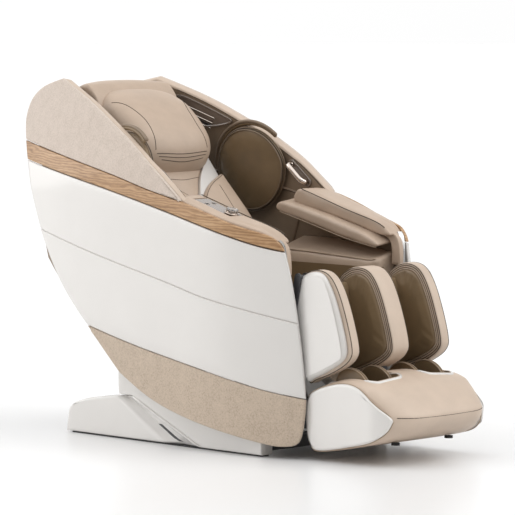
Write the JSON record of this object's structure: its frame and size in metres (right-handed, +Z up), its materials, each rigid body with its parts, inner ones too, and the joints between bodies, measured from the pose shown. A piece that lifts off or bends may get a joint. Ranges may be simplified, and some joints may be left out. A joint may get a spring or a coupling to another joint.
{
  "type": "massage chair",
  "caption": "Full-body massage chair with curved side shells, reclining back, massage trolley and a swinging calf and foot rest.",
  "frame": {"origin": "on the floor, under the centre of the bounding box", "axes": "+Z up, -Y towards the front (the feet), +X the occupant's left"},
  "size_m": [0.76, 1.7988, 1.221],
  "materials": {
    "steel_frame": "satin black powder coat",
    "white_gloss": "glossy moulded",
    "white_satin": "satin moulded",
    "rubber_black": "matt",
    "black_plastic": "fine texture",
    "actuator_metal": "satin",
    "bright_steel": "turned",
    "fabric_light": "fine woven upholstery cloth",
    "fabric_beige": "woven upholstery cloth",
    "oak": "satin lacquer",
    "leather_beige": "smooth, fine grain",
    "leather_brown": "smooth, fine grain",
    "taupe_plastic": "metallic satin",
    "chrome_trim": "polished"
  },
  "bodies": {
    "base": {"base_rails": "steel_frame", "front_cross_member": "steel_frame", "rear_cross_member": "steel_frame", "base_cover_right": "white_gloss", "base_cover_left": "white_gloss", "rubber_feet": "rubber_black", "power_box": "black_plastic", "power_inlet": "black_plastic"},
    "power_switch": {"power_switch": "black_plastic"},
    "wheel_right": {"transport_wheel_right": "rubber_black"},
    "wheel_left": {"transport_wheel_left": "rubber_black"},
    "tilt_actuator": {"tilt_actuator_body": "actuator_metal"},
    "tilt_rod": {"tilt_actuator_rod": "bright_steel"},
    "cradle": {"seat_frame": "steel_frame", "seat_cushion": "leather_brown", "shell_fabric_right": "fabric_light", "shell_fabric_left": "fabric_light", "shell_wood_right": "oak", "shell_wood_left": "oak", "shell_white_right": "white_gloss", "shell_white_left": "white_gloss", "shell_skirts": "fabric_beige", "side_linings": "leather_beige", "shoulder_airbags": "leather_brown", "speaker_grilles": "taupe_plastic", "handle_bezels": "taupe_plastic", "grab_handles": "chrome_trim", "armrest_pad_right": "leather_beige", "armrest_pad_left": "leather_beige", "forearm_pads": "leather_beige", "hip_pads": "leather_beige", "armrest_cores": "leather_beige", "console_panel": "taupe_plastic", "leg_lift_motor": "actuator_metal"},
    "control_knob": {"control_knob": "chrome_trim"},
    "power_button": {"power_button": "black_plastic"},
    "program_button": {"program_button": "black_plastic"},
    "recline_actuator": {"recline_actuator_body": "actuator_metal"},
    "recline_rod": {"recline_actuator_rod": "bright_steel"},
    "backrest": {"back_frame": "steel_frame", "back_shell": "white_satin", "back_pad": "leather_beige", "lumbar_pad": "leather_beige", "back_inserts": "white_gloss", "neck_pillow": "leather_beige"},
    "massage_trolley": {"massage_trolley": "black_plastic"},
    "massage_arm_right": {"massage_arm_right": "bright_steel"},
    "massage_arm_left": {"massage_arm_left": "bright_steel"},
    "calf_rest": {"calf_frame": "steel_frame", "calf_covers": "white_gloss", "calf_walls": "leather_beige", "calf_side_pads": "leather_brown", "calf_back_pad": "leather_brown"},
    "foot_rest": {"foot_shell": "leather_beige", "foot_side_covers": "white_gloss", "foot_rims": "white_satin", "foot_liners": "leather_brown", "foot_glides": "rubber_black", "foot_slide_bar": "bright_steel"},
    "sole_rollers": {"sole_rollers": "bright_steel"}
  },
  "joints": [
    {"name": "zero_gravity_tilt", "type": "hinge", "parent": "base", "child": "cradle", "pos_m": [0, 0.027, 0.2], "axis": [-1, 0, 0], "range_deg": [0, 16]},
    {"name": "tilt_actuator_pivot", "type": "hinge", "parent": "base", "child": "tilt_actuator", "pos_m": [0, 0.347, 0.07], "axis": [-1, 0, 0], "range_deg": [-1, 0]},
    {"name": "tilt_rod_stroke", "type": "slide", "parent": "tilt_actuator", "child": "tilt_rod", "axis": [0, -0.9961, 0.088], "range_m": [0, 0.029]},
    {"name": "backrest_recline", "type": "hinge", "parent": "cradle", "child": "backrest", "pos_m": [0, 0.147, 0.4], "axis": [-1, 0, 0], "range_deg": [0, 32]},
    {"name": "recline_actuator_pivot", "type": "hinge", "parent": "cradle", "child": "recline_actuator", "pos_m": [0.06, -0.253, 0.262], "axis": [-1, 0, 0], "range_deg": [-1, 0]},
    {"name": "recline_rod_stroke", "type": "slide", "parent": "recline_actuator", "child": "recline_rod", "axis": [0, 0.9952, 0.0975], "range_m": [-0.055, 0]},
    {"name": "leg_rest_lift", "type": "hinge", "parent": "cradle", "child": "calf_rest", "pos_m": [0, -0.483, 0.595], "axis": [-1, 0, 0], "range_deg": [0, 85]},
    {"name": "foot_rest_extension", "type": "slide", "parent": "calf_rest", "child": "foot_rest", "axis": [0, -0.1564, -0.9877], "range_m": [0, 0.1205]},
    {"name": "sole_roller_spin", "type": "hinge", "parent": "foot_rest", "child": "sole_rollers", "pos_m": [0, -0.608, 0.078], "axis": [1, 0, 0], "continuous": true},
    {"name": "trolley_travel", "type": "slide", "parent": "backrest", "child": "massage_trolley", "axis": [0, 0.6428, 0.766], "range_m": [-0.1, 0.36]},
    {"name": "massage_arm_right_swing", "type": "hinge", "parent": "massage_trolley", "child": "massage_arm_right", "pos_m": [0, 0.30766, 0.65681], "axis": [1, 0, 0], "range_deg": [-6, 6]},
    {"name": "massage_arm_left_swing", "type": "hinge", "parent": "massage_trolley", "child": "massage_arm_left", "pos_m": [0, 0.30766, 0.65681], "axis": [1, 0, 0], "range_deg": [-6, 6]},
    {"name": "control_knob_turn", "type": "hinge", "parent": "cradle", "child": "control_knob", "pos_m": [-0.287, -0.19729, 0.78787], "axis": [0, -0.2924, 0.9563], "continuous": true},
    {"name": "power_button_press", "type": "slide", "parent": "cradle", "child": "power_button", "axis": [0, 0.2924, -0.9563], "range_m": [0, 0.0015], "stiffness_N_per_m": 400},
    {"name": "program_button_press", "type": "slide", "parent": "cradle", "child": "program_button", "axis": [0, 0.2924, -0.9563], "range_m": [0, 0.0015], "stiffness_N_per_m": 400},
    {"name": "power_switch_rock", "type": "hinge", "parent": "base", "child": "power_switch", "pos_m": [-0.039, 0.573, 0.07], "axis": [-1, 0, 0], "range_deg": [0, 16]},
    {"name": "wheel_right_roll", "type": "hinge", "parent": "base", "child": "wheel_right", "pos_m": [-0.212, 0.562, 0.034], "axis": [1, 0, 0], "continuous": true},
    {"name": "wheel_left_roll", "type": "hinge", "parent": "base", "child": "wheel_left", "pos_m": [0.212, 0.562, 0.034], "axis": [1, 0, 0], "continuous": true}
  ],
  "couplings": [
    {"joint": "tilt_actuator_pivot", "follows": "zero_gravity_tilt", "ratio": -0.02727},
    {"joint": "tilt_rod_stroke", "follows": "zero_gravity_tilt", "m_per_rad": 0.10331},
    {"joint": "recline_actuator_pivot", "follows": "backrest_recline", "ratio": -0.02557},
    {"joint": "recline_rod_stroke", "follows": "backrest_recline", "m_per_rad": -0.09816},
    {"joint": "foot_rest_extension", "follows": "leg_rest_lift", "m_per_rad": 0.08089},
    {"joint": "massage_arm_left_swing", "follows": "massage_arm_right_swing", "ratio": -1}
  ]
}
